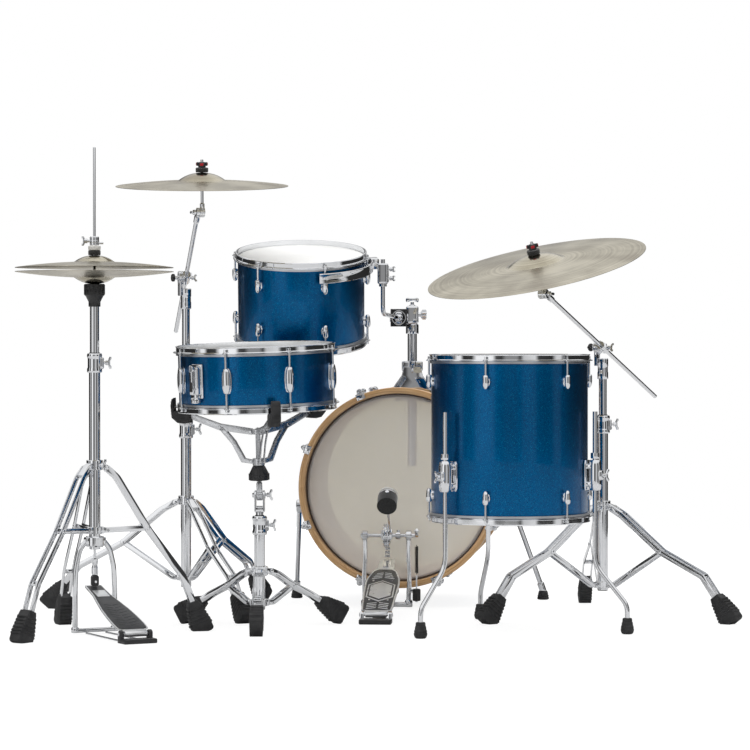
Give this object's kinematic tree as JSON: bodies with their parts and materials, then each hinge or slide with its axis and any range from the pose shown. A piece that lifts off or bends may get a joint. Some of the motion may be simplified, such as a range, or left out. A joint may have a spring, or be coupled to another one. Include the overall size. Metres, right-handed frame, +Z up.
{
  "type": "acoustic drum kit",
  "caption": "Acoustic drum kit with bass drum, rack and floor toms, snare on a basket stand, hi-hat, crash and ride cymbals on boom stands, and a bass pedal.",
  "frame": {"origin": "on the floor, under the middle of the kit's outline", "axes": "+X to the drummer's right, +Y from the drummer to the audience, +Z up"},
  "size_m": [1.6881, 1.3464, 1.095],
  "materials": {
    "lacquered_shell": "sparkle lacquer",
    "clear_film": "clear gloss",
    "cream_film": "gloss",
    "coated_film": "coated",
    "maple": "clear lacquer",
    "chrome": "polished",
    "steel": "plain",
    "satin_steel": "satin",
    "black_steel": "black",
    "rubber": "matt",
    "cast_aluminium": "satin",
    "black_plastic": "matt",
    "bronze": "lathed"
  },
  "bodies": {
    "kit": {"bass_shell": "lacquered_shell", "bass_batter_head": "clear_film", "bass_resonant_head": "cream_film", "bass_hoops": "maple", "bass_lugs": "chrome", "bass_brackets": "chrome", "floor_tom_shell": "lacquered_shell", "floor_tom_heads": "coated_film", "floor_tom_hoops": "chrome", "floor_tom_lugs": "chrome", "floor_tom_brackets": "chrome", "pedal_frame": "chrome", "pedal_spring": "black_steel", "hihat_base": "chrome", "stand_base_tubes": "chrome", "tripod_legs": "chrome", "tripod_braces": "chrome", "tripod_collars": "chrome", "tripod_feet": "rubber"},
    "spur_left": {"spur_left": "chrome"},
    "spur_right": {"spur_right": "chrome"},
    "tom_post": {"tom_post": "chrome"},
    "tom_arm": {"tom_arm": "chrome"},
    "rack_tom": {"tom_shell": "lacquered_shell", "tom_heads": "coated_film", "tom_hoops": "chrome", "tom_lugs": "chrome", "tom_suspension": "chrome"},
    "snare_stand": {"snare_stand_upper": "chrome"},
    "snare": {"snare_basket": "satin_steel", "snare_shell": "lacquered_shell", "snare_heads": "coated_film", "snare_hoops": "chrome", "snare_lugs": "chrome", "snare_wires": "steel", "snare_strainer": "chrome"},
    "strainer_lever": {"strainer_lever": "chrome"},
    "floor_tom_leg_left": {"floor_tom_leg_left": "chrome"},
    "floor_tom_leg_right": {"floor_tom_leg_right": "chrome"},
    "floor_tom_leg_rear": {"floor_tom_leg_rear": "chrome"},
    "beater": {"pedal_beater": "chrome"},
    "pedal_footboard": {"pedal_footboard": "cast_aluminium"},
    "pedal_chain": {"pedal_chain": "steel"},
    "hihat_rod": {"hihat_pull_rod": "chrome"},
    "hihat_footboard": {"hihat_footboard": "cast_aluminium"},
    "hihat_top": {"hihat_clutch": "chrome", "hihat_top_cymbal": "bronze"},
    "hihat_stack": {"hihat_upper_tube": "chrome", "hihat_seat": "black_plastic", "hihat_bottom_cymbal": "bronze"},
    "crash_upper_tube": {"crash_upper_tube": "chrome"},
    "crash_boom_clamp": {"crash_boom_clamp": "chrome"},
    "crash_boom": {"crash_boom": "chrome"},
    "crash_tilter": {"crash_tilter": "chrome"},
    "crash_cymbal": {"crash_cymbal": "bronze"},
    "ride_upper_tube": {"ride_upper_tube": "chrome"},
    "ride_boom_clamp": {"ride_boom_clamp": "chrome"},
    "ride_boom": {"ride_boom": "chrome"},
    "ride_tilter": {"ride_tilter": "chrome"},
    "ride_cymbal": {"ride_cymbal": "bronze"}
  },
  "joints": [
    {"name": "spur_left_fold", "type": "hinge", "parent": "kit", "child": "spur_left", "pos_m": [-0.20708, 0.46731, 0.237], "axis": [0.9945, -0.1045, 0], "range_deg": [0, 90]},
    {"name": "spur_right_fold", "type": "hinge", "parent": "kit", "child": "spur_right", "pos_m": [0.33394, 0.41045, 0.237], "axis": [0.9945, -0.1045, 0], "range_deg": [0, 90]},
    {"name": "tom_post_height", "type": "slide", "parent": "kit", "child": "tom_post", "axis": [0, 0, 1], "range_m": [-0.04, 0.06]},
    {"name": "tom_arm_tilt", "type": "hinge", "parent": "tom_post", "child": "tom_arm", "pos_m": [0.04405, 0.3017, 0.716], "axis": [1, 0, 0], "range_deg": [-5, 5]},
    {"name": "tom_swing", "type": "hinge", "parent": "tom_arm", "child": "rack_tom", "pos_m": [0.004, 0.088, 0.8], "axis": [0, 0, 1], "range_deg": [-15, 2]},
    {"name": "snare_height", "type": "slide", "parent": "kit", "child": "snare_stand", "axis": [0, 0, 1], "range_m": [-0.004, 0.04]},
    {"name": "snare_tilt", "type": "hinge", "parent": "snare_stand", "child": "snare", "pos_m": [-0.28, -0.288, 0.305], "axis": [0.9997, 0, 0.0262], "range_deg": [-2, 8]},
    {"name": "strainer_throw", "type": "hinge", "parent": "snare", "child": "strainer_lever", "pos_m": [-0.42577, -0.43648, 0.59628], "axis": [-0.7062, -0.7067, -0.0432], "range_deg": [0, 90]},
    {"name": "floor_tom_leg_left_slide", "type": "slide", "parent": "kit", "child": "floor_tom_leg_left", "axis": [0, 0, 1], "range_m": [0, 0.1]},
    {"name": "floor_tom_leg_right_slide", "type": "slide", "parent": "kit", "child": "floor_tom_leg_right", "axis": [0, 0, 1], "range_m": [0, 0.1]},
    {"name": "floor_tom_leg_rear_slide", "type": "slide", "parent": "kit", "child": "floor_tom_leg_rear", "axis": [0, 0, 1], "range_m": [0, 0.1]},
    {"name": "beater_swing", "type": "hinge", "parent": "kit", "child": "beater", "pos_m": [0.014, 0.2, 0.18], "axis": [-0.9976, 0.0698, 0], "range_deg": [0, 68], "stiffness_Nm_per_rad": 0.3, "springref_deg": -45.84, "deforming": ["pedal_spring"]},
    {"name": "pedal_footboard_press", "type": "hinge", "parent": "kit", "child": "pedal_footboard", "pos_m": [-0.01251, -0.17907, 0.02], "axis": [-0.9976, 0.0698, 0], "range_deg": [0, 6]},
    {"name": "pedal_chain_pull", "type": "slide", "parent": "kit", "child": "pedal_chain", "axis": [0, 0, -1], "range_m": [0, 0.042]},
    {"name": "hihat_rod_travel", "type": "slide", "parent": "kit", "child": "hihat_rod", "axis": [0, 0, 1], "range_m": [-0.0072, 0], "stiffness_N_per_m": 1500, "springref_m": 0.02},
    {"name": "hihat_footboard_press", "type": "hinge", "parent": "kit", "child": "hihat_footboard", "pos_m": [-0.53896, -0.62631, 0.02], "axis": [-0.8829, -0.4695, 0], "range_deg": [0, 2]},
    {"name": "hihat_clutch_height", "type": "slide", "parent": "hihat_rod", "child": "hihat_top", "axis": [0, 0, 1], "range_m": [0, 0.17]},
    {"name": "hihat_tube_height", "type": "slide", "parent": "kit", "child": "hihat_stack", "axis": [0, 0, 1], "range_m": [-0.1, 0]},
    {"name": "crash_height", "type": "slide", "parent": "kit", "child": "crash_upper_tube", "axis": [0, 0, 1], "range_m": [-0.03, 0.08]},
    {"name": "crash_boom_angle", "type": "hinge", "parent": "crash_upper_tube", "child": "crash_boom_clamp", "pos_m": [-0.475, 0.125, 0.812], "axis": [-0.9829, -0.1842, 0], "range_deg": [-12, 20]},
    {"name": "crash_boom_reach", "type": "slide", "parent": "crash_boom_clamp", "child": "crash_boom", "axis": [0.1553, -0.8289, 0.5374], "range_m": [-0.03, 0.06]},
    {"name": "crash_tilt", "type": "hinge", "parent": "crash_boom", "child": "crash_tilter", "pos_m": [-0.422, -0.10352, 0.96134], "axis": [0.9829, 0.1842, 0], "range_deg": [-15, 15]},
    {"name": "crash_swing", "type": "hinge", "parent": "crash_tilter", "child": "crash_cymbal", "pos_m": [-0.422, -0.11317, 1.05313], "axis": [0.9829, 0.1842, 0], "range_deg": [-5, 5], "stiffness_Nm_per_rad": 8},
    {"name": "ride_height", "type": "slide", "parent": "kit", "child": "ride_upper_tube", "axis": [0, 0, 1], "range_m": [-0.03, 0.08]},
    {"name": "ride_boom_angle", "type": "hinge", "parent": "ride_upper_tube", "child": "ride_boom_clamp", "pos_m": [0.531, 0.015, 0.643], "axis": [-0.8954, 0.4453, 0], "range_deg": [-8, 30]},
    {"name": "ride_boom_reach", "type": "slide", "parent": "ride_boom_clamp", "child": "ride_boom", "axis": [-0.4194, -0.8434, 0.3359], "range_m": [-0.03, 0.06]},
    {"name": "ride_tilt", "type": "hinge", "parent": "ride_boom", "child": "ride_tilter", "pos_m": [0.36761, -0.29111, 0.76668], "axis": [0.8954, -0.4453, 0], "range_deg": [-15, 15]},
    {"name": "ride_swing", "type": "hinge", "parent": "ride_tilter", "child": "ride_cymbal", "pos_m": [0.34884, -0.3103, 0.85499], "axis": [0.8954, -0.4453, 0], "range_deg": [-5, 5], "stiffness_Nm_per_rad": 8}
  ],
  "couplings": [
    {"joint": "pedal_footboard_press", "follows": "beater_swing", "ratio": 0.0806},
    {"joint": "pedal_chain_pull", "follows": "beater_swing", "m_per_rad": 0.0333},
    {"joint": "hihat_footboard_press", "follows": "hihat_rod_travel", "rad_per_m": -4.386}
  ]
}
